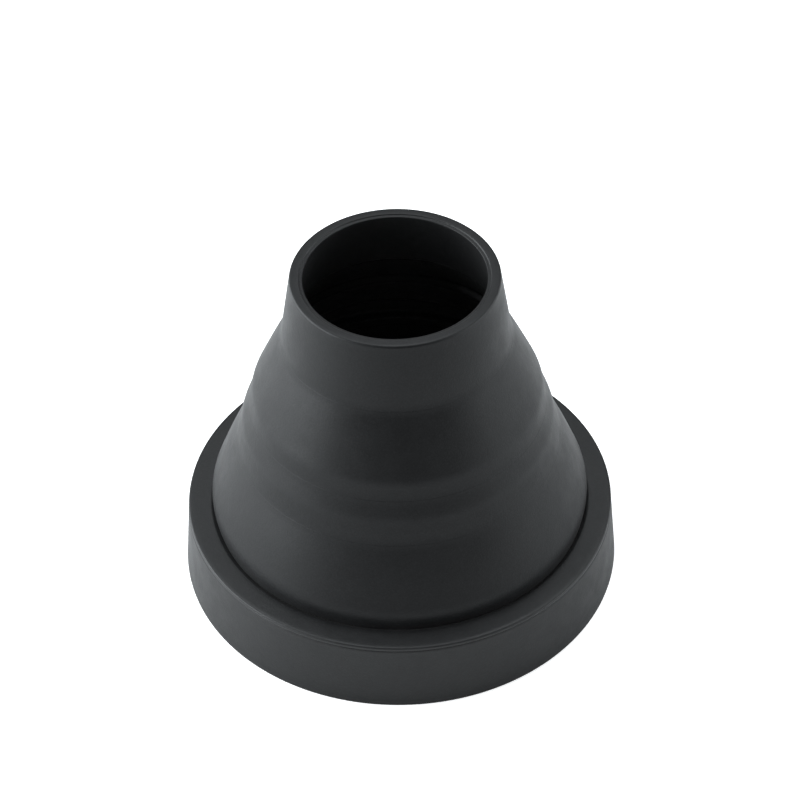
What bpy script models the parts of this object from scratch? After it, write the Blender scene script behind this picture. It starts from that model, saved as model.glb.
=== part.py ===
"""Foldable silicone snoot for a round flash head.

A soft collar slips over the front of the head and carries a stiff ring of magnets.
Above it rise a skirt, a band, a bell and a nozzle, joined by three thin folds.
Each fold turns inside out when the tier above it is pushed down.

Metres. +Z runs from the flash head to the mouth. The origin is the centre of the collar's foot.
"""

import math

import bmesh
import bpy

MM = 0.001

# Collar and its socket for the flash head
HEAD_DIAMETER = 76.0 * MM
HEAD_CLEARANCE = 0.6 * MM
COLLAR_WALL = 5.4 * MM
COLLAR_HEIGHT = 15.2 * MM
COLLAR_TAPER = 1.2 * MM
SOCKET_LEAD_IN = 0.8 * MM
SHELF_WIDTH = 4.6 * MM
GROOVE_WIDTH = 1.4 * MM
GROOVE_DEPTH = 0.4 * MM
CEILING_THICKNESS = 2.7 * MM

# Mounting ring and its magnets
RING_THICKNESS = 3.2 * MM
RING_GRIP = 1.6 * MM
RING_STEP = 0.4 * MM
MAGNET_COUNT = 12
FIRST_MAGNET_ANGLE = math.radians(15)
MAGNET_DIAMETER = 4.0 * MM
MAGNET_LENGTH = 2.0 * MM
MAGNET_INSET = 0.1 * MM
POCKET_WALL = 0.4 * MM

# Silicone tiers, from the collar up to the mouth
SKIRT_HEIGHT = 10.9 * MM
SKIRT_BULGE_HEIGHT = 3.1 * MM
SKIRT_TUCK = 1.3 * MM
SKIRT_WALL = 1.9 * MM
BAND_HEIGHT = 5.0 * MM
BAND_SPREAD = 1.2 * MM
BAND_WALL = 1.3 * MM
BELL_HEIGHT = 6.9 * MM
BELL_SPREAD = 3.1 * MM
BELL_RIM_HEIGHT = 3.4 * MM
BELL_RIM_SPREAD = 0.7 * MM
BELL_WALL = 1.8 * MM
NOZZLE_LENGTH = 14.5 * MM
NOZZLE_SPREAD = 2.2 * MM
NOZZLE_WALL = 2.6 * MM
NOZZLE_FOOT_WALL = 2.1 * MM
MOUTH_DIAMETER = 40.4 * MM

# Folds: how far each one steps outwards, and how tall it is
NOZZLE_FOLD_WIDTH = 3.1 * MM
NOZZLE_FOLD_HEIGHT = 6.5 * MM
BELL_FOLD_WIDTH = 1.6 * MM
BELL_FOLD_HEIGHT = 4.2 * MM
BAND_FOLD_WIDTH = 2.9 * MM
BAND_FOLD_HEIGHT = 6.5 * MM
FOLD_WALL = 1.1 * MM

# Gap between neighbouring solids, and the roundings of the edges
JOINT_GAP = 0.3 * MM
MOUTH_ROUNDING = 0.6 * MM
RIDGE_ROUNDING = 1.0 * MM
SHELF_ROUNDING = 0.7 * MM
FOOT_ROUNDING = 0.5 * MM
RING_ROUNDING = 0.3 * MM

TURN_STEPS = 60
MAGNET_STEPS = 20
CORNER_STEPS = 2

# Radii of the collar and the ring
SOCKET_RADIUS = HEAD_DIAMETER / 2 + HEAD_CLEARANCE
COLLAR_RADIUS = SOCKET_RADIUS + COLLAR_WALL
SHELF_RADIUS = COLLAR_RADIUS - COLLAR_TAPER
GROOVE_OUTER_RADIUS = SHELF_RADIUS - SHELF_WIDTH
SKIRT_FOOT_RADIUS = GROOVE_OUTER_RADIUS - GROOVE_WIDTH
SKIRT_RADIUS = SKIRT_FOOT_RADIUS + SKIRT_TUCK
SKIRT_FOOT_INNER_RADIUS = SKIRT_FOOT_RADIUS - SKIRT_WALL
RING_RADIUS = SOCKET_RADIUS + RING_GRIP
RING_FACE_RADIUS = SOCKET_RADIUS - JOINT_GAP
POCKET_RADIUS = MAGNET_DIAMETER / 2 + JOINT_GAP
MAGNET_CIRCLE_RADIUS = RING_FACE_RADIUS - POCKET_WALL - POCKET_RADIUS
RING_BORE_RADIUS = MAGNET_CIRCLE_RADIUS - POCKET_RADIUS - POCKET_WALL

# Radii of the tiers, from the mouth outwards
MOUTH_RADIUS = MOUTH_DIAMETER / 2
NOZZLE_FOOT_RADIUS = MOUTH_RADIUS + NOZZLE_SPREAD
BELL_TOP_RADIUS = NOZZLE_FOOT_RADIUS + NOZZLE_FOLD_WIDTH
BELL_RIDGE_RADIUS = BELL_TOP_RADIUS + BELL_SPREAD
BELL_FOOT_RADIUS = BELL_RIDGE_RADIUS + BELL_RIM_SPREAD
BAND_TOP_RADIUS = BELL_FOOT_RADIUS + BELL_FOLD_WIDTH
BAND_FOOT_RADIUS = BAND_TOP_RADIUS + BAND_SPREAD
SKIRT_TOP_RADIUS = BAND_FOOT_RADIUS + BAND_FOLD_WIDTH

# Heights, from the foot up
GROOVE_FLOOR = COLLAR_HEIGHT - GROOVE_DEPTH
CEILING = GROOVE_FLOOR - CEILING_THICKNESS
RING_TOP = CEILING - JOINT_GAP
RING_BOTTOM = RING_TOP - RING_THICKNESS
RING_FLANGE = RING_BOTTOM + RING_STEP
RING_SLOT_FLOOR = RING_FLANGE - JOINT_GAP
SKIRT_FOOT = GROOVE_FLOOR + JOINT_GAP
SKIRT_BULGE = SKIRT_FOOT + SKIRT_BULGE_HEIGHT
SKIRT_TOP = COLLAR_HEIGHT + SKIRT_HEIGHT
BAND_FOOT = SKIRT_TOP + BAND_FOLD_HEIGHT
BAND_TOP = BAND_FOOT + BAND_HEIGHT
BELL_FOOT = BAND_TOP + BELL_FOLD_HEIGHT
BELL_RIDGE = BELL_FOOT + BELL_RIM_HEIGHT
BELL_TOP = BELL_RIDGE + BELL_HEIGHT
NOZZLE_FOOT = BELL_TOP + NOZZLE_FOLD_HEIGHT
MOUTH = NOZZLE_FOOT + NOZZLE_LENGTH

SILICONE = (0.018, 0.019, 0.020, 1.0)
RING_PLASTIC = (0.012, 0.012, 0.013, 1.0)
NICKEL = (0.62, 0.61, 0.58, 1.0)


def clear_scene():
    for obj in list(bpy.data.objects):
        bpy.data.objects.remove(obj, do_unlink=True)


def make_collection(name):
    collection = bpy.data.collections.new(name)
    bpy.context.scene.collection.children.link(collection)
    return collection


def make_material(name, colour, roughness, metallic=0.0):
    material = bpy.data.materials.new(name)
    material.use_nodes = True
    shader = material.node_tree.nodes["Principled BSDF"]
    shader.inputs["Base Color"].default_value = colour
    shader.inputs["Roughness"].default_value = roughness
    shader.inputs["Metallic"].default_value = metallic
    return material


def toward(corner, neighbour, distance):
    """Point this far from the corner, along the edge to its neighbour, and no more than halfway."""
    edge_r = neighbour[0] - corner[0]
    edge_z = neighbour[1] - corner[1]
    share = min(distance / math.hypot(edge_r, edge_z), 0.5)
    return corner[0] + share * edge_r, corner[1] + share * edge_z


def soften(corners):
    """Closed outline with each (radius, height, rounding) corner turned into a short curve."""
    outline = []
    for index, corner in enumerate(corners):
        rounding = corner[2]
        if rounding == 0:
            outline.append(corner[:2])
            continue
        before = toward(corner, corners[index - 1], rounding)
        after = toward(corner, corners[(index + 1) % len(corners)], rounding)
        for step in range(CORNER_STEPS + 1):
            t = step / CORNER_STEPS
            weights = ((1 - t) ** 2, 2 * t * (1 - t), t**2)
            radius = weights[0] * before[0] + weights[1] * corner[0] + weights[2] * after[0]
            height = weights[0] * before[1] + weights[1] * corner[1] + weights[2] * after[1]
            outline.append((radius, height))
    return outline


def turned(name, corners, base, material, collection):
    """Ring turned from an outline that goes out over its top, down its outer side and back inside."""
    outline = soften(corners)
    count = len(outline)
    points = [(radius, 0.0, height - base) for radius, height in outline]
    edges = [(index, (index + 1) % count) for index in range(count)]
    mesh = bpy.data.meshes.new(name)
    mesh.from_pydata(points, edges, [])
    mesh.materials.append(material)
    obj = bpy.data.objects.new(name, mesh)
    collection.objects.link(obj)
    screw = obj.modifiers.new("turn", "SCREW")
    screw.axis = "Z"
    screw.angle = math.tau
    screw.steps = TURN_STEPS
    screw.render_steps = TURN_STEPS
    screw.use_smooth_shade = True
    screw.use_merge_vertices = False
    obj.location = (0.0, 0.0, base)
    return obj


def body_empty(name, height, parent, collection):
    """Empty on the axis of the snoot, which carries the pieces of one tier."""
    empty = bpy.data.objects.new(name, None)
    empty.empty_display_size = 5 * MM
    collection.objects.link(empty)
    empty.location = (0.0, 0.0, height)
    if parent:
        attach(empty, parent)
    return empty


def attach(obj, parent):
    """Parents the object, which keeps its place: no parent here is turned or scaled."""
    place = obj.location.copy()
    above = parent
    while above:
        place -= above.location
        above = above.parent
    obj.parent = parent
    obj.location = place


def collar(material, collection):
    """Thick band around the flash head, with a shelf on top and a slot that holds the mounting ring."""
    corners = [
        (SKIRT_FOOT_INNER_RADIUS, GROOVE_FLOOR, 0),
        (GROOVE_OUTER_RADIUS, GROOVE_FLOOR, 0),
        (GROOVE_OUTER_RADIUS, COLLAR_HEIGHT, SHELF_ROUNDING),
        (SHELF_RADIUS, COLLAR_HEIGHT, SHELF_ROUNDING),
        (COLLAR_RADIUS, 0.0, FOOT_ROUNDING),
        (SOCKET_RADIUS + SOCKET_LEAD_IN, 0.0, 0),
        (SOCKET_RADIUS, SOCKET_LEAD_IN, 0),
        (SOCKET_RADIUS, RING_SLOT_FLOOR, 0),
        (RING_RADIUS + JOINT_GAP, RING_SLOT_FLOOR, 0),
        (RING_RADIUS + JOINT_GAP, CEILING, 0),
        (SKIRT_FOOT_INNER_RADIUS, CEILING, 0),
    ]
    return turned("collar", corners, 0.0, material, collection)


def skirt(material, collection):
    """Lower cone, which bulges over the groove and tucks in to its foot."""
    corners = [
        (SKIRT_TOP_RADIUS - SKIRT_WALL, SKIRT_TOP, 0),
        (SKIRT_TOP_RADIUS, SKIRT_TOP, 0),
        (SKIRT_RADIUS, SKIRT_BULGE, SKIRT_BULGE_HEIGHT / 2),
        (SKIRT_FOOT_RADIUS, SKIRT_FOOT, 0),
        (SKIRT_FOOT_INNER_RADIUS, SKIRT_FOOT, 0),
        (SKIRT_RADIUS - SKIRT_WALL, SKIRT_BULGE, SKIRT_BULGE_HEIGHT / 2),
    ]
    return turned("skirt", corners, SKIRT_FOOT, material, collection)


def fold(name, lower, upper, material, collection):
    """Thin ring between the (radius, height) of the tier below and that of the tier above."""
    bottom = lower[1] + JOINT_GAP
    corners = [
        (upper[0] - FOLD_WALL, upper[1], 0),
        (upper[0], upper[1], 0),
        (lower[0], bottom, 0),
        (lower[0] - FOLD_WALL, bottom, 0),
    ]
    return turned(name, corners, bottom, material, collection)


def middle_band(material, collection):
    """Steep narrow tier between the skirt and the bell."""
    foot = BAND_FOOT + JOINT_GAP
    corners = [
        (BAND_TOP_RADIUS - BAND_WALL, BAND_TOP, 0),
        (BAND_TOP_RADIUS, BAND_TOP, RIDGE_ROUNDING / 2),
        (BAND_FOOT_RADIUS, foot, 0),
        (BAND_FOOT_RADIUS - BAND_WALL, foot, 0),
    ]
    return turned("middle_band", corners, foot, material, collection)


def upper_bell(material, collection):
    """Sloping shoulder that ends in a short steep rim."""
    foot = BELL_FOOT + JOINT_GAP
    corners = [
        (BELL_TOP_RADIUS - BELL_WALL, BELL_TOP, 0),
        (BELL_TOP_RADIUS, BELL_TOP, 0),
        (BELL_RIDGE_RADIUS, BELL_RIDGE, RIDGE_ROUNDING),
        (BELL_FOOT_RADIUS, foot, 0),
        (BELL_FOOT_RADIUS - BELL_WALL, foot, 0),
        (BELL_RIDGE_RADIUS - BELL_WALL, BELL_RIDGE, RIDGE_ROUNDING),
    ]
    return turned("upper_bell", corners, foot, material, collection)


def nozzle_tube(material, collection):
    """Slightly flared tube with a flat mouth."""
    foot = NOZZLE_FOOT + JOINT_GAP
    corners = [
        (MOUTH_RADIUS - NOZZLE_WALL, MOUTH, MOUTH_ROUNDING),
        (MOUTH_RADIUS, MOUTH, MOUTH_ROUNDING),
        (NOZZLE_FOOT_RADIUS, foot, 0),
        (NOZZLE_FOOT_RADIUS - NOZZLE_FOOT_WALL, foot, 0),
    ]
    return turned("nozzle_tube", corners, foot, material, collection)


def magnet_places():
    """Centre of each magnet's lower face, evenly round the ring."""
    for number in range(MAGNET_COUNT):
        angle = FIRST_MAGNET_ANGLE + math.tau * number / MAGNET_COUNT
        yield (
            MAGNET_CIRCLE_RADIUS * math.cos(angle),
            MAGNET_CIRCLE_RADIUS * math.sin(angle),
            RING_BOTTOM + MAGNET_INSET,
        )


def cylinder_mesh(name, radius, bottom, top, places):
    """Mesh with an upright cylinder at each place, from bottom to top above that place."""
    shape = bmesh.new()
    for place in places:
        made = bmesh.ops.create_cone(
            shape,
            cap_ends=True,
            segments=MAGNET_STEPS,
            radius1=radius,
            radius2=radius,
            depth=top - bottom,
        )
        middle = (bottom + top) / 2
        bmesh.ops.translate(
            shape,
            verts=made["verts"],
            vec=(place[0], place[1], place[2] + middle),
        )
    mesh = bpy.data.meshes.new(name)
    shape.to_mesh(mesh)
    shape.free()
    mesh.shade_smooth()
    mesh.set_sharp_from_angle(angle=math.radians(40))
    return mesh


def mounting_ring(material, collection, cutters):
    """Stiff ring with a flange in the collar's slot, and a lower face with a pocket for each magnet."""
    corners = [
        (RING_BORE_RADIUS, RING_TOP, RING_ROUNDING),
        (RING_RADIUS, RING_TOP, 0),
        (RING_RADIUS, RING_FLANGE, 0),
        (RING_FACE_RADIUS, RING_FLANGE, 0),
        (RING_FACE_RADIUS, RING_BOTTOM, 0),
        (RING_BORE_RADIUS, RING_BOTTOM, RING_ROUNDING),
    ]
    ring = turned("mounting_ring", corners, RING_BOTTOM, material, collection)
    pocket_mesh = cylinder_mesh(
        "magnet_pockets",
        POCKET_RADIUS,
        -MM,
        MAGNET_LENGTH + JOINT_GAP,
        magnet_places(),
    )
    pockets = bpy.data.objects.new("magnet_pockets", pocket_mesh)
    cutters.objects.link(pockets)
    pockets.display_type = "WIRE"
    pockets.hide_render = True
    cut = ring.modifiers.new("pockets", "BOOLEAN")
    cut.operation = "DIFFERENCE"
    cut.solver = "EXACT"
    cut.object = pockets
    return ring


def magnets(material, collection):
    """Disc magnets that hold the snoot on the flash head's steel front."""
    mesh = cylinder_mesh("magnet", MAGNET_DIAMETER / 2, 0.0, MAGNET_LENGTH, [(0.0, 0.0, 0.0)])
    mesh.materials.append(material)
    made = []
    for number, place in enumerate(magnet_places(), start=1):
        magnet = bpy.data.objects.new(f"magnet_{number:02d}", mesh)
        collection.objects.link(magnet)
        magnet.location = place
        made.append(magnet)
    return made


def build():
    clear_scene()
    parts = make_collection("snoot")
    cutters = make_collection("cutters")
    silicone = make_material("black_silicone", SILICONE, 0.62)
    thin_silicone = make_material("black_silicone_fold", SILICONE, 0.58)
    plastic = make_material("black_ring_plastic", RING_PLASTIC, 0.45)
    nickel = make_material("magnet_nickel", NICKEL, 0.25, 1.0)

    band_fold = fold(
        "band_fold",
        (SKIRT_TOP_RADIUS, SKIRT_TOP),
        (BAND_FOOT_RADIUS, BAND_FOOT),
        thin_silicone,
        parts,
    )
    bell_fold = fold(
        "bell_fold",
        (BAND_TOP_RADIUS, BAND_TOP),
        (BELL_FOOT_RADIUS, BELL_FOOT),
        thin_silicone,
        parts,
    )
    nozzle_fold = fold(
        "nozzle_fold",
        (BELL_TOP_RADIUS, BELL_TOP),
        (NOZZLE_FOOT_RADIUS, NOZZLE_FOOT),
        thin_silicone,
        parts,
    )

    base = body_empty("mount_body", 0.0, None, parts)
    band_slide = body_empty("band_slide", BAND_FOOT, base, parts)
    bell_slide = body_empty("bell_slide", BELL_FOOT, band_slide, parts)
    nozzle_slide = body_empty("nozzle_slide", NOZZLE_FOOT, bell_slide, parts)

    attach(collar(silicone, parts), base)
    attach(skirt(silicone, parts), base)
    attach(mounting_ring(plastic, parts, cutters), base)
    for magnet in magnets(nickel, parts):
        attach(magnet, base)
    attach(band_fold, base)
    attach(middle_band(silicone, parts), band_slide)
    attach(bell_fold, band_slide)
    attach(upper_bell(silicone, parts), bell_slide)
    attach(nozzle_fold, bell_slide)
    attach(nozzle_tube(silicone, parts), nozzle_slide)


build()
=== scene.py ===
"""Looks of a foldable silicone snoot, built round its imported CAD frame.

The snoot is one soft moulding. It is divided into five skins, at its three folds and at the
groove in the collar, and each skin is a thick ring turned from a closed outline. Inside the
collar sit a stiff ring and its magnets.

Metres, in the frame's own axes: +Z runs from the flash head to the mouth.
"""

import math
from collections import namedtuple

import bmesh
import bpy
from mathutils import Matrix, Vector
from mathutils.bvhtree import BVHTree


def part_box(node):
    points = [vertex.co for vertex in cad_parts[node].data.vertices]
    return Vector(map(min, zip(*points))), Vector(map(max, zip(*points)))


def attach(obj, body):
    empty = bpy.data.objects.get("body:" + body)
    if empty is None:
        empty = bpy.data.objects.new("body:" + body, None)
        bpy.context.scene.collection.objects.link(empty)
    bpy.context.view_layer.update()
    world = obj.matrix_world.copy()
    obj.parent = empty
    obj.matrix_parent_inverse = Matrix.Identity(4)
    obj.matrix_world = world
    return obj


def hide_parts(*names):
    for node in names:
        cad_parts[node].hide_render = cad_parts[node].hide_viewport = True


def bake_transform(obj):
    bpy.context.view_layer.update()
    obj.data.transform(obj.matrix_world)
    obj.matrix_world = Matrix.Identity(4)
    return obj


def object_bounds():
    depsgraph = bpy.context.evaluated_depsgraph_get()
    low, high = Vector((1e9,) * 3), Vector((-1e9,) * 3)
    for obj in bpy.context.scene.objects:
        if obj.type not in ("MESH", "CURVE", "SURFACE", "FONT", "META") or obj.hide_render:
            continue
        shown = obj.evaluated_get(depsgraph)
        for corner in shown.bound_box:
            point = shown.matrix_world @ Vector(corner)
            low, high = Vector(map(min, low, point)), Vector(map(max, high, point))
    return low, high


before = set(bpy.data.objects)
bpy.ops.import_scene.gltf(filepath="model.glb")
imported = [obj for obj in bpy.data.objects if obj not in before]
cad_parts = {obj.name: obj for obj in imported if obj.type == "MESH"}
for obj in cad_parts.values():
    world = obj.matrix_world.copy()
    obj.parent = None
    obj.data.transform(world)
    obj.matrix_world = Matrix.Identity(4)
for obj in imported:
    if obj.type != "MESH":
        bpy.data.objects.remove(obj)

MM = 0.001
CAD_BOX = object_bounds()

# How finely the skins are made
TURN_STEPS = 192
OUTLINE_STEP = 0.4 * MM
CORNER_STEPS = 6
SHARP_ANGLE = math.radians(38)

# Gap that the frame keeps between neighbouring solids
JOINT_GAP = 0.3 * MM

# Thin web that each fold has for a wall, and the lip that hides the seam at its upper edge
WEB_WALL = 0.6 * MM
WEB_RUN_OUT = 1.3 * MM
SEAM_LIP = 0.15 * MM

# Rim of the mouth, with a shallow ledge inside it
MOUTH_OUTER_ROUNDING = 0.5 * MM
MOUTH_INNER_ROUNDING = 0.3 * MM
MOUTH_LEDGE_WIDTH = 0.8 * MM
MOUTH_LEDGE_DROP = 0.22 * MM
MOUTH_LEDGE_ROUNDING = 0.12 * MM

# Hollows where the tiers meet the webs
CREASE_REACH = 1.5 * MM
CREASE_STEPS = 8

# Roundings of the tiers and of the collar
SHOULDER_ROUNDING = 2.0 * MM
BELL_RIDGE_ROUNDING = 1.1 * MM
BAND_RIDGE_ROUNDING = 1.2 * MM
SKIRT_FLANK_ROUNDING = 3.0 * MM
SKIRT_BULGE_ROUNDING = 1.9 * MM
SHELF_ROUNDING = 0.7 * MM
FOOT_ROUNDING = 0.3 * MM
INSIDE_ROUNDING = 0.4 * MM

# Groove in the collar's shelf, and the skirt's foot inside it
SKIRT_FOOT_SWELL = 0.6 * MM
GROOVE_SLOPE = 0.75 * MM
GROOVE_FILLET = 0.35 * MM
GROOVE_LIP_ROUNDING = 0.2 * MM

# Heights of the bell's ridge and the skirt's bulge, each from its own tier's foot
BELL_RIM_HEIGHT = 3.4 * MM
SKIRT_BULGE_HEIGHT = 3.1 * MM

# Shares of a sloping stretch's height between which its slope is measured
WALL_SAMPLES = (0.35, 0.65)
SHOULDER_SAMPLES = (0.35, 0.85)
FLANK_SAMPLES = (0.45, 0.85)
COLLAR_SAMPLES = (0.3, 0.7)

# Distances from an edge at which a wall is measured, and from a seam between two facets
JUST_PAST = 0.05 * MM
FACE_PAST = 0.1 * MM
WELL_PAST = 0.5 * MM
SLOT_PAST = 1.0 * MM
SOCKET_PAST = 2.0 * MM
OFF_SEAM = 0.001 * MM

# Collar details
SOCKET_LEAD_IN = 0.8 * MM
PARTING_LINE_DROP = 0.85 * MM
PARTING_LINE_WIDTH = 0.4 * MM
PARTING_LINE_DEPTH = 0.12 * MM

# Ring and magnets
RING_EDGE_ROUNDING = 0.3 * MM
MAGNET_EDGE = 0.2 * MM
MAGNET_STEPS = 40
POCKET_CLEARANCE = 0.3 * MM

# How far wear, with its painted highlights, and dust, with its painted light in the groove, reach
# from the corners that carry them
WEAR_AND_HIGHLIGHT_REACH = 0.9 * MM
DUST_AND_LIGHT_REACH = 0.8 * MM

# Camera, from the collar's outer radius
CAMERA_ELEVATION = math.radians(43.12)
CAMERA_ROLL = math.radians(-1.21)
CAMERA_DISTANCE = 13.444
CAMERA_AIM_HEIGHT = 0.9262
CAMERA_AIM_SIDE = 0.0100
CAMERA_LENS = 135.0
CAMERA_SENSOR = 36.0

# Wear also paints highlight lines on crisp edges, and dust also paints light into the shaded groove
Corner = namedtuple("Corner", "radius height rounding wear dust", defaults=(0.0, 0.0, 0.0))
Softbox = namedtuple("Softbox", "name place aim width height watts")

# Studio
SOFTBOXES = [
    Softbox("left_softbox", (-0.75, 0.06, 0.30), (0.0, 0.0, 0.03), 1.1, 0.6, 16.0),
    Softbox("right_softbox", (0.78, 0.06, 0.30), (0.0, 0.0, 0.03), 1.0, 0.5, 6.1),
    Softbox("top_softbox", (0.0, 0.35, 0.95), (0.0, 0.0, 0.03), 0.9, 0.7, 7.0),
]
AMBIENT = 0.145
BACKDROP = 1.05
FLOOR_SIZE = 6.0
FLOOR_DROP = 0.02 * MM
FLOOR_GLOW = 0.6

# Colours
SILICONE_DARK = (0.0046, 0.0048, 0.0052)
SILICONE_LIGHT = (0.0066, 0.0069, 0.0074)
# Paler silicone for speckle and rubbed edges, also used as painted highlight lines on crisp edges
RUBBED_SILICONE_AND_HIGHLIGHT = (0.020, 0.0205, 0.0215)
# Pale dust, also used as painted light that lightens the shade in the collar's groove
PALE_DUST_AND_PAINTED_LIGHT = (0.16, 0.155, 0.15)
RING_DARK = (0.011, 0.011, 0.012)
RING_LIGHT = (0.017, 0.017, 0.018)
RUBBED_RING = (0.05, 0.05, 0.052)
NICKEL_DULL = (0.66, 0.64, 0.6)
NICKEL_BRIGHT = (0.74, 0.73, 0.7)
FLOOR_DARK = (0.90, 0.90, 0.90)
FLOOR_LIGHT = (0.92, 0.92, 0.92)
SOFTBOX_COLOUR = (0.95, 1.0, 1.03)

# Gloss of the silicone, a little higher on the collar than on the tiers
TIER_ROUGHNESS = 0.47
TIER_IOR = 1.31
COLLAR_ROUGHNESS = 0.46
COLLAR_IOR = 1.38

# Silicone: how much speckle, wear with its painted highlights and dust with its painted light
# lighten it, and change its roughness
SPECKLE_RAMP = (0.45, 0.85, 0.0, 0.35)
WEAR_AND_HIGHLIGHT_PALENESS = 0.25
DUST_AND_LIGHT_PALENESS = 0.08
GLOSSIEST = -0.04
DULLEST = 0.05
WEAR_POLISH = 0.07
DUST_DULLING = 0.12
SHEEN = 0.03
SHEEN_ROUGHNESS = 0.45
SILICONE_BUMP = 0.6
SILICONE_BUMP_HEIGHT = 0.04 * MM

# Ring plastic, magnets and floor
RING_WEAR_PALENESS = 0.5
RING_ROUGHNESS = (0.36, 0.5)
RING_BUMP = 0.4
RING_BUMP_HEIGHT = 0.05 * MM
SCRATCH_STRETCH = (1.0, 14.0, 1.0)
SCRATCHES_PER_METRE = 900.0
SCRATCH_RAMP = (0.4, 0.7, 0.2, 0.34)
NICKEL_DULLING = 0.02
NICKEL_BUMP = 0.15
NICKEL_BUMP_HEIGHT = 0.01 * MM
FLOOR_ROUGHNESS = 0.9
FLOOR_SPECULAR = 0.1

# Moulded grain: scales and heights of its layers against the finest one
COARSE_SCALE = 0.3
WAVY_SCALE = 0.02
PIT_SCALE = 0.16
COARSE_HEIGHT = 0.7
WAVY_HEIGHT = 1.5
PIT_RAMP = (0.68, 0.78)

# Tone drift: broad patches and finer smudges
SMUDGE_SCALE = 4.0
BROAD_SHARE = 0.65
SMUDGE_SHARE = 0.35
TONE_RAMP = (0.3, 0.7)
GLOSS_RAMP = (0.35, 0.7)

# Wear with its painted highlights, and dust with its painted light: how they break up, and loose
# lint
BREAK_SCALE = 0.5
BREAK_RAMP = (0.35, 0.65)
LINT_SCALE = 2.0
LINT_RAMP = (0.72, 0.8, 0.0, 0.35)
LEAST_WEAR_AND_HIGHLIGHT = 0.5
LEAST_DUST_AND_LIGHT = 0.3


# ---- Sizes read from the frame ----

def node_tree_of(node):
    """Search tree of a CAD node's faces."""
    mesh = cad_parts[node].data
    points = [vertex.co for vertex in mesh.vertices]
    faces = [tuple(polygon.vertices) for polygon in mesh.polygons]
    return BVHTree.FromPolygons(points, faces)


def wall_radii(node, height):
    """(inner, outer) radius of a CAD node's wall at a height."""
    tree = node_tree_of(node)
    reach = 2 * CAD_BOX[1].x
    outward = tree.ray_cast(Vector((0.0, OFF_SEAM, height)), Vector((1, 0, 0)))[0]
    inward = tree.ray_cast(Vector((reach, OFF_SEAM, height)), Vector((-1, 0, 0)))[0]
    return outward.x, inward.x


def radii_at(node, height):
    """(inner, outer) radius that a straight CAD wall has at a height, also past its own ends."""
    low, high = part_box(node)
    first, second = (low.z + part * (high.z - low.z) for part in WALL_SAMPLES)
    share = (height - first) / (second - first)
    below = wall_radii(node, first)
    above = wall_radii(node, second)
    return tuple(a + share * (b - a) for a, b in zip(below, above))


def sloping_wall(node, bottom, top, samples):
    """Outer radius as a function of height, from a straight stretch of a CAD node's wall."""
    first, second = (bottom + part * (top - bottom) for part in samples)
    first_radius = wall_radii(node, first)[1]
    second_radius = wall_radii(node, second)[1]
    slope = (second_radius - first_radius) / (second - first)
    return lambda height: first_radius + slope * (height - first)


# ---- Outlines ----

def toward(corner, neighbour, distance):
    """Point this far from the corner on the way to its neighbour, and no more than halfway."""
    edge = Vector((neighbour.radius - corner.radius, neighbour.height - corner.height))
    share = min(distance / edge.length, 0.5)
    return Vector((corner.radius, corner.height)) + share * edge


def soften(corners):
    """Closed outline with each corner turned into a short curve."""
    outline = []
    for index, corner in enumerate(corners):
        middle = Vector((corner.radius, corner.height))
        if corner.rounding == 0:
            outline.append(middle)
            continue
        before = toward(corner, corners[index - 1], corner.rounding)
        after = toward(corner, corners[(index + 1) % len(corners)], corner.rounding)
        for step in range(CORNER_STEPS + 1):
            t = step / CORNER_STEPS
            outline.append((1 - t) ** 2 * before + 2 * t * (1 - t) * middle + t**2 * after)
    return outline


def refine(outline):
    """Closed outline with points added, so that none of its runs is longer than the step."""
    fine = []
    for index, point in enumerate(outline):
        following = outline[(index + 1) % len(outline)]
        pieces = max(1, math.ceil((following - point).length / OUTLINE_STEP))
        for piece in range(pieces):
            fine.append(point.lerp(following, piece / pieces))
    return fine


def nearness(point, corners, amounts, reach):
    """Largest amount that any corner gives to a point, fading with the distance from it."""
    strongest = 0.0
    for corner, amount in zip(corners, amounts):
        distance = (point - Vector((corner.radius, corner.height))).length
        strongest = max(strongest, amount * math.exp(-((distance / reach) ** 2)))
    return strongest


def outline_mesh(name, corners, sweep_radius):
    """Flat closed outline, measured from its sweep circle, with wear and dust on its points; the
    wear also paints highlight lines and the dust also paints light into the shaded groove.
    """
    points = refine(soften(corners))
    count = len(points)
    mesh = bpy.data.meshes.new(name)
    mesh.from_pydata(
        [(point.x - sweep_radius, -point.y, 0.0) for point in points],
        [(index, (index + 1) % count) for index in range(count)],
        [],
    )
    wear = [corner.wear for corner in corners]
    dust = [corner.dust for corner in corners]
    for layer, amounts, reach in (("wear", wear, WEAR_AND_HIGHLIGHT_REACH), ("dust", dust, DUST_AND_LIGHT_REACH)):
        values = [nearness(point, corners, amounts, reach) for point in points]
        attribute = mesh.attributes.new(layer, "FLOAT", "POINT")
        attribute.data.foreach_set("value", values)
    return mesh


# ---- Geometry node trees ----

def new_tree(name):
    tree = bpy.data.node_groups.new(name, "GeometryNodeTree")
    tree.interface.new_socket("Geometry", in_out="INPUT", socket_type="NodeSocketGeometry")
    tree.interface.new_socket("Geometry", in_out="OUTPUT", socket_type="NodeSocketGeometry")
    return tree


def tree_input(tree, name, kind):
    return tree.interface.new_socket(name, in_out="INPUT", socket_type=f"NodeSocket{kind}")


def end_tree(tree, geometry, inlet):
    """Realises the instances, gives everything the material and puts it out."""
    realize = tree.nodes.new("GeometryNodeRealizeInstances")
    paint = tree.nodes.new("GeometryNodeSetMaterial")
    outlet = tree.nodes.new("NodeGroupOutput")
    tree.links.new(geometry, realize.inputs["Geometry"])
    tree.links.new(realize.outputs["Geometry"], paint.inputs["Geometry"])
    tree.links.new(inlet.outputs["Material"], paint.inputs["Material"])
    tree.links.new(paint.outputs["Geometry"], outlet.inputs["Geometry"])


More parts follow.
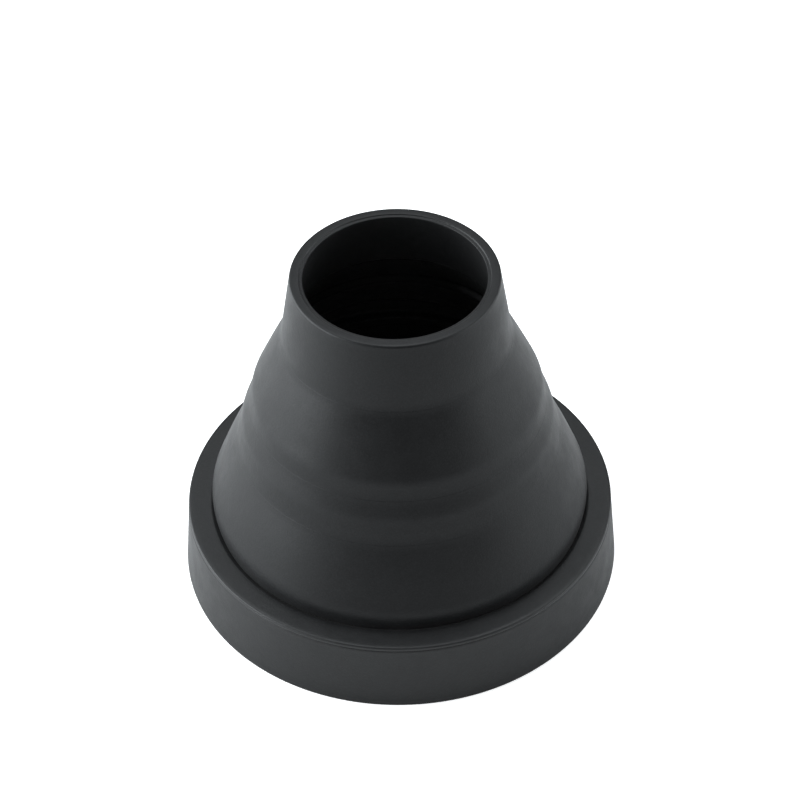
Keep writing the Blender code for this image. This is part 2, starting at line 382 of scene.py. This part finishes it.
def make_turned_ring_tree():
    """Sweeps an outline round the Z axis into a closed ring."""
    tree = new_tree("turned_ring")
    tree_input(tree, "Sweep Radius", "Float")
    tree_input(tree, "Turn Steps", "Int")
    tree_input(tree, "Material", "Material")
    inlet = tree.nodes.new("NodeGroupInput")
    outline = tree.nodes.new("GeometryNodeMeshToCurve")
    circle = tree.nodes.new("GeometryNodeCurvePrimitiveCircle")
    sweep = tree.nodes.new("GeometryNodeCurveToMesh")
    tree.links.new(inlet.outputs["Geometry"], outline.inputs["Mesh"])
    tree.links.new(inlet.outputs["Sweep Radius"], circle.inputs["Radius"])
    tree.links.new(inlet.outputs["Turn Steps"], circle.inputs["Resolution"])
    tree.links.new(circle.outputs["Curve"], sweep.inputs["Curve"])
    tree.links.new(outline.outputs["Curve"], sweep.inputs["Profile Curve"])
    end_tree(tree, sweep.outputs["Mesh"], inlet)
    return tree


def make_round_row_tree():
    """Places copies of a shape evenly on a level circle."""
    tree = new_tree("round_row")
    tree_input(tree, "Count", "Int")
    tree_input(tree, "Circle Radius", "Float")
    tree_input(tree, "First Angle", "Float")
    tree_input(tree, "Material", "Material")
    inlet = tree.nodes.new("NodeGroupInput")
    circle = tree.nodes.new("GeometryNodeMeshCircle")
    circle.fill_type = "NONE"
    copies = tree.nodes.new("GeometryNodeInstanceOnPoints")
    turn = tree.nodes.new("ShaderNodeCombineXYZ")
    place = tree.nodes.new("GeometryNodeTransform")
    tree.links.new(inlet.outputs["Count"], circle.inputs["Vertices"])
    tree.links.new(inlet.outputs["Circle Radius"], circle.inputs["Radius"])
    tree.links.new(circle.outputs["Mesh"], copies.inputs["Points"])
    tree.links.new(inlet.outputs["Geometry"], copies.inputs["Instance"])
    tree.links.new(inlet.outputs["First Angle"], turn.inputs["Z"])
    tree.links.new(copies.outputs["Instances"], place.inputs["Geometry"])
    tree.links.new(turn.outputs["Vector"], place.inputs["Rotation"])
    end_tree(tree, place.outputs["Geometry"], inlet)
    return tree


def grown(name, mesh, tree, values):
    """Plain mesh object that a node tree makes of a mesh, with the tree's inputs given by name."""
    obj = bpy.data.objects.new(name, mesh)
    bpy.context.scene.collection.objects.link(obj)
    modifier = obj.modifiers.new("shape", "NODES")
    modifier.node_group = tree
    for item in tree.interface.items_tree:
        if item.in_out == "INPUT" and item.name in values:
            modifier[item.identifier] = values[item.name]
    return settled(obj)


def settled(obj):
    """The same object, with its modifiers' result as its own plain mesh."""
    graph = bpy.context.evaluated_depsgraph_get()
    source = obj.data
    mesh = bpy.data.meshes.new_from_object(obj.evaluated_get(graph))
    mesh.name = obj.name
    obj.modifiers.clear()
    obj.data = mesh
    bpy.data.meshes.remove(source)
    mesh.shade_smooth()
    mesh.set_sharp_from_angle(angle=SHARP_ANGLE)
    return obj


def turned(name, corners, material):
    """Ring turned from corners that go out over its top, down its outer side and back inside."""
    sweep_radius = sum(corner.radius for corner in corners) / len(corners)
    values = {"Sweep Radius": sweep_radius, "Turn Steps": TURN_STEPS, "Material": material}
    return grown(name, outline_mesh(name, corners, sweep_radius), TURNED_RING, values)


# ---- Shader node groups ----

def new_shader_group(name, inputs, outputs):
    """Shader group with the named sockets, and its input and output nodes."""
    group = bpy.data.node_groups.new(name, "ShaderNodeTree")
    for socket, kind, value in inputs:
        made = group.interface.new_socket(socket, in_out="INPUT", socket_type=f"NodeSocket{kind}")
        if kind == "Float":
            made.default_value = value
    for socket, kind in outputs:
        group.interface.new_socket(socket, in_out="OUTPUT", socket_type=f"NodeSocket{kind}")
    inlet = group.nodes.new("NodeGroupInput")
    outlet = group.nodes.new("NodeGroupOutput")
    return group, inlet, outlet


def maths(tree, operation, first, second):
    """Maths node between two sockets or numbers; gives its output socket."""
    node = tree.nodes.new("ShaderNodeMath")
    node.operation = operation
    for socket, value in zip(node.inputs, (first, second)):
        if isinstance(value, (int, float)):
            socket.default_value = value
        else:
            tree.links.new(value, socket)
    return node.outputs["Value"]


def noise(tree, vector, scale, detail=2.0, roughness=0.5):
    node = tree.nodes.new("ShaderNodeTexNoise")
    node.inputs["Detail"].default_value = detail
    node.inputs["Roughness"].default_value = roughness
    tree.links.new(vector, node.inputs["Vector"])
    if isinstance(scale, (int, float)):
        node.inputs["Scale"].default_value = scale
    else:
        tree.links.new(scale, node.inputs["Scale"])
    return node.outputs["Fac"]


def between(tree, value, low, high, first=0.0, second=1.0):
    """Value spread from first at low to second at high, and held there beyond them."""
    node = tree.nodes.new("ShaderNodeMapRange")
    node.inputs["From Min"].default_value = low
    node.inputs["From Max"].default_value = high
    node.inputs["To Min"].default_value = first
    node.inputs["To Max"].default_value = second
    tree.links.new(value, node.inputs["Value"])
    return node.outputs["Result"]


def make_moulded_grain_group():
    """Fine even grain with sparse pits and a slow waviness."""
    group, inlet, outlet = new_shader_group(
        "moulded_grain",
        [("Vector", "Vector", None), ("Grains Per Metre", "Float", 6500.0), ("Pits", "Float", 0.3)],
        [("Height", "Float"), ("Speckle", "Float")],
    )
    vector = inlet.outputs["Vector"]
    grain_scale = inlet.outputs["Grains Per Metre"]
    fine = noise(group, vector, grain_scale, 3.0, 0.6)
    coarse = noise(group, vector, maths(group, "MULTIPLY", grain_scale, COARSE_SCALE), 2.0, 0.5)
    wavy = noise(group, vector, maths(group, "MULTIPLY", grain_scale, WAVY_SCALE), 1.0, 0.4)
    pit_noise = noise(group, vector, maths(group, "MULTIPLY", grain_scale, PIT_SCALE), 1.0, 0.5)
    pits = between(group, pit_noise, *PIT_RAMP)
    height = maths(group, "ADD", fine, maths(group, "MULTIPLY", coarse, COARSE_HEIGHT))
    height = maths(group, "ADD", height, maths(group, "MULTIPLY", wavy, WAVY_HEIGHT))
    height = maths(group, "SUBTRACT", height, maths(group, "MULTIPLY", pits, inlet.outputs["Pits"]))
    group.links.new(height, outlet.inputs["Height"])
    group.links.new(fine, outlet.inputs["Speckle"])
    return group


def make_tone_drift_group():
    """Slow change of tone and gloss over a surface."""
    group, inlet, outlet = new_shader_group(
        "tone_drift",
        [("Vector", "Vector", None), ("Patches Per Metre", "Float", 60.0)],
        [("Tone", "Float"), ("Gloss", "Float")],
    )
    vector = inlet.outputs["Vector"]
    scale = inlet.outputs["Patches Per Metre"]
    broad = noise(group, vector, scale, 3.0, 0.55)
    smudge = noise(group, vector, maths(group, "MULTIPLY", scale, SMUDGE_SCALE), 4.0, 0.65)
    broad_share = maths(group, "MULTIPLY", broad, BROAD_SHARE)
    smudge_share = maths(group, "MULTIPLY", smudge, SMUDGE_SHARE)
    tone = maths(group, "ADD", broad_share, smudge_share)
    group.links.new(between(group, tone, *TONE_RAMP), outlet.inputs["Tone"])
    group.links.new(between(group, smudge, *GLOSS_RAMP), outlet.inputs["Gloss"])
    return group


def make_wear_dust_and_painted_light_group():
    """Masks of rubbed edges, which also paint highlight lines, and of settled dust, which also
    paints light into the shaded groove, from what the outline's corners carry.
    """
    group, inlet, outlet = new_shader_group(
        "wear_dust_and_painted_light",
        [("Vector", "Vector", None), ("Lint Per Metre", "Float", 420.0)],
        [("Wear", "Float"), ("Dust", "Float")],
    )
    vector = inlet.outputs["Vector"]
    scale = inlet.outputs["Lint Per Metre"]
    masks = {}
    for layer in ("wear", "dust"):
        attribute = group.nodes.new("ShaderNodeAttribute")
        attribute.attribute_name = layer
        masks[layer] = attribute.outputs["Fac"]
    break_noise = noise(group, vector, maths(group, "MULTIPLY", scale, BREAK_SCALE), 4.0, 0.7)
    broken = between(group, break_noise, *BREAK_RAMP)
    lint_noise = noise(group, vector, maths(group, "MULTIPLY", scale, LINT_SCALE), 2.0, 0.7)
    lint = between(group, lint_noise, *LINT_RAMP)
    wear_and_highlight_breaks = between(group, broken, 0.0, 1.0, LEAST_WEAR_AND_HIGHLIGHT, 1.0)
    wear = maths(group, "MULTIPLY", masks["wear"], wear_and_highlight_breaks)
    dust_and_light_breaks = between(group, broken, 0.0, 1.0, LEAST_DUST_AND_LIGHT, 1.0)
    settled_dust_and_light = maths(group, "MULTIPLY", masks["dust"], dust_and_light_breaks)
    group.links.new(wear, outlet.inputs["Wear"])
    group.links.new(maths(group, "MAXIMUM", settled_dust_and_light, lint), outlet.inputs["Dust"])
    return group


# ---- Materials ----

def new_material(name):
    """Empty node material with its Principled shader and the place on the object."""
    material = bpy.data.materials.new(name)
    material.use_nodes = True
    tree = material.node_tree
    shader = tree.nodes["Principled BSDF"]
    place = tree.nodes.new("ShaderNodeTexCoord").outputs["Object"]
    return material, tree, shader, place


def placed(tree, group, vector, **values):
    """A shader group in a material's tree, with its own values; underscores stand for spaces."""
    node = tree.nodes.new("ShaderNodeGroup")
    node.node_tree = group
    tree.links.new(vector, node.inputs["Vector"])
    for name, value in values.items():
        node.inputs[name.replace("_", " ")].default_value = value
    return node.outputs


def blended(tree, mask, first, second):
    """Colour that goes from the first to the second with a mask. Each is a socket or an RGB."""
    node = tree.nodes.new("ShaderNodeMix")
    node.data_type = "RGBA"
    tree.links.new(mask, node.inputs["Factor"])
    for socket, colour in ((node.inputs["A"], first), (node.inputs["B"], second)):
        if isinstance(colour, tuple):
            socket.default_value = (*colour, 1.0)
        else:
            tree.links.new(colour, socket)
    return node.outputs["Result"]


def bumped(tree, shader, height, strength, distance):
    """Links a height to the shader's normal."""
    bump = tree.nodes.new("ShaderNodeBump")
    bump.inputs["Strength"].default_value = strength
    bump.inputs["Distance"].default_value = distance
    tree.links.new(height, bump.inputs["Height"])
    tree.links.new(bump.outputs["Normal"], shader.inputs["Normal"])


def matte_silicone(name, roughness, ior):
    """Soft black moulding: fine grain, a dry sheen, paler rubbed edges that also paint highlight
    lines, and a little dust that also paints light into the shaded groove.
    """
    material, tree, shader, place = new_material(name)
    grain = placed(tree, MOULDED_GRAIN, place, Grains_Per_Metre=3000.0, Pits=0.35)
    drift = placed(tree, TONE_DRIFT, place, Patches_Per_Metre=55.0)
    marks = placed(tree, WEAR_DUST_AND_PAINTED_LIGHT, place, Lint_Per_Metre=420.0)

    colour = blended(tree, drift["Tone"], SILICONE_DARK, SILICONE_LIGHT)
    speckle = between(tree, grain["Speckle"], *SPECKLE_RAMP)
    colour = blended(tree, speckle, colour, RUBBED_SILICONE_AND_HIGHLIGHT)
    # Rubbed edges, paler in colour, which also paints bright highlight lines on the mouth's ledge
    # and the groove's lip
    rubbed_and_highlit = maths(tree, "MULTIPLY", marks["Wear"], WEAR_AND_HIGHLIGHT_PALENESS)
    colour = blended(tree, rubbed_and_highlit, colour, RUBBED_SILICONE_AND_HIGHLIGHT)
    # Dust, paler in colour, which in the collar's groove is painted light over the shade
    dust_and_light_share = maths(tree, "MULTIPLY", marks["Dust"], DUST_AND_LIGHT_PALENESS)
    colour = blended(tree, dust_and_light_share, colour, PALE_DUST_AND_PAINTED_LIGHT)
    tree.links.new(colour, shader.inputs["Base Color"])

    glossiest = roughness + GLOSSIEST
    rough = between(tree, drift["Gloss"], 0.0, 1.0, glossiest, roughness + DULLEST)
    rough = maths(tree, "SUBTRACT", rough, maths(tree, "MULTIPLY", marks["Wear"], WEAR_POLISH))
    rough = maths(tree, "ADD", rough, maths(tree, "MULTIPLY", marks["Dust"], DUST_DULLING))
    tree.links.new(rough, shader.inputs["Roughness"])

    shader.inputs["IOR"].default_value = ior
    shader.inputs["Sheen Weight"].default_value = SHEEN
    shader.inputs["Sheen Roughness"].default_value = SHEEN_ROUGHNESS
    bumped(tree, shader, grain["Height"], SILICONE_BUMP, SILICONE_BUMP_HEIGHT)
    return material


def ring_plastic():
    """Stiff black plastic, a little shinier than the silicone and with a finer grain."""
    material, tree, shader, place = new_material("ring_plastic")
    grain = placed(tree, MOULDED_GRAIN, place, Grains_Per_Metre=3800.0, Pits=0.1)
    drift = placed(tree, TONE_DRIFT, place, Patches_Per_Metre=90.0)
    marks = placed(tree, WEAR_DUST_AND_PAINTED_LIGHT, place, Lint_Per_Metre=300.0)
    colour = blended(tree, drift["Tone"], RING_DARK, RING_LIGHT)
    rubbed_and_highlit = maths(tree, "MULTIPLY", marks["Wear"], RING_WEAR_PALENESS)
    colour = blended(tree, rubbed_and_highlit, colour, RUBBED_RING)
    tree.links.new(colour, shader.inputs["Base Color"])
    rough = between(tree, drift["Gloss"], 0.0, 1.0, *RING_ROUGHNESS)
    tree.links.new(rough, shader.inputs["Roughness"])
    bumped(tree, shader, grain["Height"], RING_BUMP, RING_BUMP_HEIGHT)
    return material


def magnet_nickel():
    """Satin nickel plating with hairline scratches and duller patches."""
    material, tree, shader, place = new_material("magnet_nickel")
    drift = placed(tree, TONE_DRIFT, place, Patches_Per_Metre=400.0)
    stretch = tree.nodes.new("ShaderNodeMapping")
    stretch.inputs["Scale"].default_value = SCRATCH_STRETCH
    tree.links.new(place, stretch.inputs["Vector"])
    scratches = noise(tree, stretch.outputs["Vector"], SCRATCHES_PER_METRE, 3.0, 0.7)
    colour = blended(tree, drift["Tone"], NICKEL_DULL, NICKEL_BRIGHT)
    tree.links.new(colour, shader.inputs["Base Color"])
    rough = maths(tree, "ADD", between(tree, scratches, *SCRATCH_RAMP), NICKEL_DULLING)
    tree.links.new(rough, shader.inputs["Roughness"])
    shader.inputs["Metallic"].default_value = 1.0
    bumped(tree, shader, scratches, NICKEL_BUMP, NICKEL_BUMP_HEIGHT)
    return material


def floor_white():
    """Smooth pale floor, barely uneven, with a glow that the lens sees and the snoot does not."""
    material, tree, shader, place = new_material("floor_white")
    drift = placed(tree, TONE_DRIFT, place, Patches_Per_Metre=3.0)
    colour = blended(tree, drift["Tone"], FLOOR_DARK, FLOOR_LIGHT)
    tree.links.new(colour, shader.inputs["Base Color"])
    path = tree.nodes.new("ShaderNodeLightPath")
    glow = between(tree, path.outputs["Is Camera Ray"], 0.0, 1.0, 0.0, FLOOR_GLOW)
    tree.links.new(glow, shader.inputs["Emission Strength"])
    shader.inputs["Emission Color"].default_value = (1.0, 1.0, 1.0, 1.0)
    shader.inputs["Roughness"].default_value = FLOOR_ROUGHNESS
    shader.inputs["Specular IOR Level"].default_value = FLOOR_SPECULAR
    return material


# ---- Pieces of the moulding ----

def fold_levels(fold):
    """(lower crease, upper crease) of a fold, as (outer radius, height) pairs."""
    low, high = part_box(fold)
    start = low.z - JOINT_GAP
    return (radii_at(fold, low.z)[1], start), (radii_at(fold, high.z)[1], high.z)


def crease_curve(above, crease, below):
    """Points of the soft hollow where the wall from above turns into the web that goes below."""
    middle = Vector(crease)
    start = middle + CREASE_REACH * (Vector(above) - middle).normalized()
    end = middle + CREASE_REACH * (Vector(below) - middle).normalized()
    points = []
    for step in range(2 * CREASE_STEPS + 1):
        t = step / (2 * CREASE_STEPS)
        points.append((1 - t) ** 2 * start + 2 * t * (1 - t) * middle + t**2 * end)
    return points


def web_top(curve):
    """Corners over the web's top, hidden in the tier above, and down the hollow's lower half."""
    seam = curve[CREASE_STEPS]
    return [
        Corner(seam.x - WEB_WALL + SEAM_LIP / 2, seam.y + SEAM_LIP),
        Corner(seam.x - SEAM_LIP, seam.y + SEAM_LIP),
        Corner(seam.x, seam.y),
        *(Corner(point.x, point.y) for point in curve[CREASE_STEPS + 1:]),
    ]


def tier_top(node):
    """(outer radius, height) at the top of a straight-walled tier."""
    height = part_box(node)[1].z
    return radii_at(node, height)[1], height


def web_inside(lower, upper, wall):
    """Corners up the inside of a web, from the run-out of the wall below it."""
    return [
        Corner(lower[0] - wall, lower[1] - WEB_RUN_OUT, INSIDE_ROUNDING),
        Corner(lower[0] - WEB_WALL, lower[1], INSIDE_ROUNDING),
        Corner(upper[0] - WEB_WALL, upper[1]),
    ]


def foot_corners(curve, wall):
    """Corners down the hollow's upper half and round a tier's foot, as thin as the web below it."""
    seam = curve[CREASE_STEPS]
    return [
        *(Corner(point.x, point.y) for point in curve[:CREASE_STEPS]),
        Corner(seam.x, seam.y),
        Corner(seam.x - WEB_WALL, seam.y),
        Corner(seam.x - wall, seam.y + WEB_RUN_OUT, INSIDE_ROUNDING),
    ]


def nozzle_skin(material):
    """Flared tube with a flat, softly rounded mouth."""
    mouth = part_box("nozzle_tube")[1].z
    inner, outer = radii_at("nozzle_tube", mouth)
    ledge = inner + MOUTH_LEDGE_WIDTH
    ledge_height = mouth - MOUTH_LEDGE_DROP
    lower, crease = fold_levels("nozzle_fold")
    wall = crease[0] - radii_at("nozzle_tube", crease[1])[0]
    corners = [
        Corner(inner, ledge_height, MOUTH_INNER_ROUNDING),
        Corner(ledge - MOUTH_LEDGE_ROUNDING, ledge_height, MOUTH_LEDGE_ROUNDING, dust=0.3),
        # Wear on the ledge's crest also paints a bright highlight line there
        Corner(ledge, mouth, MOUTH_LEDGE_ROUNDING, wear=1.0),
        Corner(outer, mouth, MOUTH_OUTER_ROUNDING, wear=1.0),
        *foot_corners(crease_curve((outer, mouth), crease, lower), wall),
    ]
    return turned("nozzle_skin", corners, material)


def bell_skin(material):
    """Sloping shoulder with a rolled ridge, and the thin web up to the nozzle."""
    lower, upper = fold_levels("nozzle_fold")
    band_top, foot = fold_levels("bell_fold")
    ridge = bell_ridge(foot)
    wall = lower[0] - wall_radii("upper_bell", lower[1] - WELL_PAST)[0]
    tube_top = tier_top("nozzle_tube")
    corners = [
        *web_top(crease_curve(tube_top, upper, lower)),
        Corner(*lower, SHOULDER_ROUNDING),
        Corner(*ridge, BELL_RIDGE_ROUNDING, wear=0.9),
        *foot_corners(crease_curve(ridge, foot, band_top), wall),
        Corner(ridge[0] - wall, ridge[1], BELL_RIDGE_ROUNDING),
        *web_inside(lower, upper, wall),
    ]
    return turned("bell_skin", corners, material)


def bell_ridge(foot):
    """(radius, height) of the ridge where the bell's shoulder meets its short rim."""
    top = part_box("upper_bell")[1].z
    height = foot[1] + BELL_RIM_HEIGHT
    shoulder = sloping_wall("upper_bell", height, top, SHOULDER_SAMPLES)
    return shoulder(height), height


def band_skin(material):
    """Steep narrow tier, and the thin web up to the bell."""
    lower, upper = fold_levels("bell_fold")
    skirt_top, foot = fold_levels("band_fold")
    inner, outer = radii_at("middle_band", lower[1])
    corners = [
        *web_top(crease_curve(bell_ridge(upper), upper, lower)),
        Corner(*lower, BAND_RIDGE_ROUNDING, wear=0.9),
        *foot_corners(crease_curve(lower, foot, skirt_top), outer - inner),
        *web_inside(lower, upper, outer - inner),
    ]
    return turned("band_skin", corners, material)


def skirt_skin(material):
    """Lower cone, which bulges over the groove and tucks in to its foot, with the web above it."""
    lower, upper = fold_levels("band_fold")
    low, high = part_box("skirt")
    bulge_height = low.z + SKIRT_BULGE_HEIGHT
    bulge = sloping_wall("skirt", bulge_height, high.z, FLANK_SAMPLES)(bulge_height)
    foot_inner, foot_outer = wall_radii("skirt", low.z + JUST_PAST)
    wall = foot_outer - foot_inner
    buried = low.z - JOINT_GAP - SEAM_LIP
    corners = [
        *web_top(crease_curve(tier_top("middle_band"), upper, lower)),
        Corner(*lower, SKIRT_FLANK_ROUNDING),
        Corner(bulge, bulge_height, SKIRT_BULGE_ROUNDING, wear=0.4),
        # Dust at the foot also paints light into the groove's shade
        Corner(foot_outer + SKIRT_FOOT_SWELL, buried, dust=0.7),
        Corner(foot_inner, buried),
        Corner(bulge - wall, bulge_height, SKIRT_BULGE_ROUNDING),
        *web_inside(lower, upper, wall),
    ]
    return turned("skirt_skin", corners, material)


def parting_line(top_radius, top_height, foot_radius):
    """Corners of the fine groove that the mould's halves leave round the collar."""
    corners = []
    for offset, depth in ((-0.5, 0.0), (0.0, PARTING_LINE_DEPTH), (0.5, 0.0)):
        height = top_height - PARTING_LINE_DROP - offset * PARTING_LINE_WIDTH
        share = (top_height - height) / top_height
        radius = top_radius + share * (foot_radius - top_radius) - depth
        corners.append(Corner(radius, height, dust=0.5 if depth else 0.0))
    return corners


def collar_skin(material):
    """Thick band with a flat shelf, a groove round the skirt and a slot that holds the ring."""
    low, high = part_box("collar")
    half_up = (low.z + high.z) / 2
    inner, groove_radius = groove_radii()
    ring_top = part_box("mounting_ring")[1].z
    socket_radius = wall_radii("collar", half_up - SOCKET_PAST)[0]
    slot_radius = wall_radii("collar", ring_top - SLOT_PAST)[0]
    slot_floor = slot_floor_height(slot_radius)
    ceiling = ring_top + JOINT_GAP
    shelf_radius, foot_radius = collar_edges(low.z, high.z)
    groove_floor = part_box("skirt")[0].z - JOINT_GAP
    corners = [
        Corner(inner, groove_floor),
        # Dust on the groove's floor paints light into the groove's shade, and wear on its lip
        # paints a bright highlight line
        Corner(groove_radius - GROOVE_SLOPE, groove_floor, GROOVE_FILLET, dust=1.0),
        Corner(groove_radius, high.z, GROOVE_LIP_ROUNDING, wear=0.9),
        Corner(shelf_radius, high.z, SHELF_ROUNDING, wear=1.0),
        *parting_line(shelf_radius, high.z, foot_radius),
        Corner(foot_radius, low.z, FOOT_ROUNDING, wear=0.7),
        Corner(socket_radius + SOCKET_LEAD_IN, low.z, INSIDE_ROUNDING),
        Corner(socket_radius, low.z + SOCKET_LEAD_IN, INSIDE_ROUNDING),
        Corner(socket_radius, slot_floor, INSIDE_ROUNDING / 2),
        Corner(slot_radius, slot_floor),
        Corner(slot_radius, ceiling),
        Corner(inner, ceiling, INSIDE_ROUNDING),
    ]
    return turned("collar_skin", corners, material)


def groove_radii():
    """(inner radius of the collar's lid, outer radius of the groove cut into its shelf)."""
    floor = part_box("skirt")[0].z - JOINT_GAP
    lid = wall_radii("collar", floor - WELL_PAST)[0]
    return lid, wall_radii("collar", floor + JUST_PAST)[0]


def slot_floor_height(slot_radius):
    """Height of the slot's floor, found by looking down into the slot."""
    start = Vector((slot_radius - SLOT_PAST, OFF_SEAM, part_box("mounting_ring")[1].z))
    return node_tree_of("collar").ray_cast(start, Vector((0, 0, -1)))[0].z


def collar_edges(low, high):
    """(radius at the shelf, radius at the foot) of the collar's sloping outer wall."""
    side = sloping_wall("collar", low, high, COLLAR_SAMPLES)
    return side(high), side(low)


# ---- Ring and magnets ----

def magnet_facts():
    """The magnets' names, circle, first angle, radius, and lowest and highest level."""
    names = sorted(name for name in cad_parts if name.startswith("magnet_"))
    low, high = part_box(names[0])
    centre = (low + high) / 2
    return {
        "names": names,
        "circle": math.hypot(centre.x, centre.y),
        "angle": math.atan2(centre.y, centre.x),
        "radius": (high.x - low.x) / 2,
        "bottom": low.z,
        "top": high.z,
    }


def is_level(side, tolerance):
    """Whether a mesh edge's two ends are at one height."""
    first, second = side.verts
    return abs(first.co.z - second.co.z) < tolerance


def disc_mesh(name, radius, bottom, top, edge):
    """Upright disc about the Z axis, with a bevel of the edge's size on both its rims."""
    shape = bmesh.new()
    made = bmesh.ops.create_cone(
        shape,
        cap_ends=True,
        segments=MAGNET_STEPS,
        radius1=radius,
        radius2=radius,
        depth=top - bottom,
    )
    bmesh.ops.translate(shape, verts=made["verts"], vec=(0.0, 0.0, (top + bottom) / 2))
    if edge:
        rims = [side for side in shape.edges if is_level(side, edge / 10)]
        bmesh.ops.bevel(shape, geom=rims, offset=edge, segments=3, affect="EDGES", profile=0.5)
    mesh = bpy.data.meshes.new(name)
    shape.to_mesh(mesh)
    shape.free()
    return mesh


def row_of(name, mesh, facts, material):
    """Copies of a disc, one at each magnet's place."""
    values = {
        "Count": len(facts["names"]),
        "Circle Radius": facts["circle"],
        "First Angle": facts["angle"],
        "Material": material,
    }
    return grown(name, mesh, ROUND_ROW, values)


def magnet_row(facts, material):
    """Disc magnets with softened rims."""
    disc = disc_mesh("magnet_disc", facts["radius"], facts["bottom"], facts["top"], MAGNET_EDGE)
    return row_of("magnets", disc, facts, material)


def ring_piece(facts, material):
    """Stiff ring with a flange in the collar's slot and a pocket round each magnet."""
    low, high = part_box("mounting_ring")
    bore, face_radius = wall_radii("mounting_ring", low.z + FACE_PAST)
    bore = min(bore, wall_radii("mounting_ring", (low.z + high.z) / 2)[0])
    flange_radius = high.x
    flange = slot_floor_height(flange_radius + JOINT_GAP) + JOINT_GAP
    corners = [
        Corner(bore, high.z, RING_EDGE_ROUNDING, wear=0.5),
        Corner(flange_radius, high.z, RING_EDGE_ROUNDING / 2),
        Corner(flange_radius, flange, RING_EDGE_ROUNDING / 2),
        Corner(face_radius, flange),
        Corner(face_radius, low.z, RING_EDGE_ROUNDING / 2, wear=0.6),
        Corner(bore, low.z, RING_EDGE_ROUNDING, wear=0.8),
    ]
    ring = turned("ring_body", corners, material)
    pocket_radius = facts["radius"] + POCKET_CLEARANCE
    pocket_top = facts["top"] + POCKET_CLEARANCE
    pocket = disc_mesh("pocket_disc", pocket_radius, low.z - MM, pocket_top, 0.0)
    pockets = row_of("pockets", pocket, facts, material)
    cut = ring.modifiers.new("pockets", "BOOLEAN")
    cut.operation = "DIFFERENCE"
    cut.solver = "EXACT"
    cut.object = pockets
    settled(ring)
    bpy.data.objects.remove(pockets, do_unlink=True)
    return ring


# ---- Studio ----

def add_floor():
    """Wide pale floor at the level that the snoot stands on."""
    mesh = bpy.data.meshes.new("floor")
    shape = bmesh.new()
    bmesh.ops.create_grid(shape, x_segments=4, y_segments=4, size=FLOOR_SIZE / 2)
    bmesh.ops.translate(shape, verts=shape.verts, vec=(0.0, 0.0, CAD_BOX[0].z - FLOOR_DROP))
    shape.to_mesh(mesh)
    shape.free()
    mesh.materials.append(floor_white())
    floor = bpy.data.objects.new("floor", mesh)
    bpy.context.scene.collection.objects.link(floor)


def looking(place, aim, roll=0.0):
    """World matrix of a camera or light that looks at an aim, rolled about its line of sight."""
    turn = (aim - place).to_track_quat("-Z", "Y").to_matrix().to_4x4()
    matrix = turn @ Matrix.Rotation(roll, 4, "Z")
    matrix.translation = place
    return matrix


def add_camera(radius):
    """Long lens looking down at the snoot from the front."""
    aim = Vector((CAMERA_AIM_SIDE * radius, 0.0, CAMERA_AIM_HEIGHT * radius))
    back = Vector((0.0, -math.cos(CAMERA_ELEVATION), math.sin(CAMERA_ELEVATION)))
    data = bpy.data.cameras.new("camera")
    data.lens = CAMERA_LENS
    data.sensor_width = CAMERA_SENSOR
    data.clip_start = 0.05
    camera = bpy.data.objects.new("camera", data)
    camera.matrix_world = looking(aim + CAMERA_DISTANCE * radius * back, aim, CAMERA_ROLL)
    bpy.context.scene.collection.objects.link(camera)
    bpy.context.scene.camera = camera


def add_softbox(box):
    data = bpy.data.lights.new(box.name, "AREA")
    data.shape = "RECTANGLE"
    data.size = box.width
    data.size_y = box.height
    data.energy = box.watts
    data.color = SOFTBOX_COLOUR
    light = bpy.data.objects.new(box.name, data)
    light.matrix_world = looking(Vector(box.place), Vector(box.aim))
    bpy.context.scene.collection.objects.link(light)


def set_world(ambient, backdrop):
    """Even soft light from all round, behind which a plain white backdrop shows."""
    world = bpy.data.worlds.new("studio")
    world.use_nodes = True
    tree = world.node_tree
    shader = tree.nodes["Background"]
    shader.inputs["Color"].default_value = (1.0, 1.0, 1.0, 1.0)
    path = tree.nodes.new("ShaderNodeLightPath")
    strength = between(tree, path.outputs["Is Camera Ray"], 0.0, 1.0, ambient, backdrop)
    tree.links.new(strength, shader.inputs["Strength"])
    bpy.context.scene.world = world


def build():
    tier_finish = matte_silicone("tier_silicone", TIER_ROUGHNESS, TIER_IOR)
    collar_finish = matte_silicone("collar_silicone", COLLAR_ROUGHNESS, COLLAR_IOR)
    plastic = ring_plastic()
    nickel = magnet_nickel()

    nozzle = nozzle_skin(tier_finish)
    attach(nozzle, "nozzle_body")
    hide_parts("nozzle_tube")

    webs = [
        (bell_skin, "bell_body", "nozzle_body", "nozzle_fold", "upper_bell"),
        (band_skin, "band_body", "bell_body", "bell_fold", "middle_band"),
        (skirt_skin, "mount_body", "band_body", "band_fold", "skirt"),
    ]
    for make, below, above, fold, tier in webs:
        lower, upper = fold_levels(fold)
        skin = make(tier_finish)
        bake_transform(skin)
        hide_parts(tier, fold)

    collar = collar_skin(collar_finish)
    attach(collar, "mount_body")
    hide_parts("collar")

    facts = magnet_facts()
    ring = ring_piece(facts, plastic)
    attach(ring, "mount_body")
    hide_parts("mounting_ring")
    magnets = magnet_row(facts, nickel)
    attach(magnets, "mount_body")
    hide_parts(*facts["names"])


def set_studio():
    add_floor()
    add_camera(collar_edges(*(corner.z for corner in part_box("collar")))[1])
    for box in SOFTBOXES:
        add_softbox(box)
    set_world(AMBIENT, BACKDROP)
    bpy.context.scene.view_settings.view_transform = "Standard"
    bpy.context.scene.view_settings.look = "None"


TURNED_RING = make_turned_ring_tree()
ROUND_ROW = make_round_row_tree()
MOULDED_GRAIN = make_moulded_grain_group()
TONE_DRIFT = make_tone_drift_group()
WEAR_DUST_AND_PAINTED_LIGHT = make_wear_dust_and_painted_light_group()

build()
set_studio()
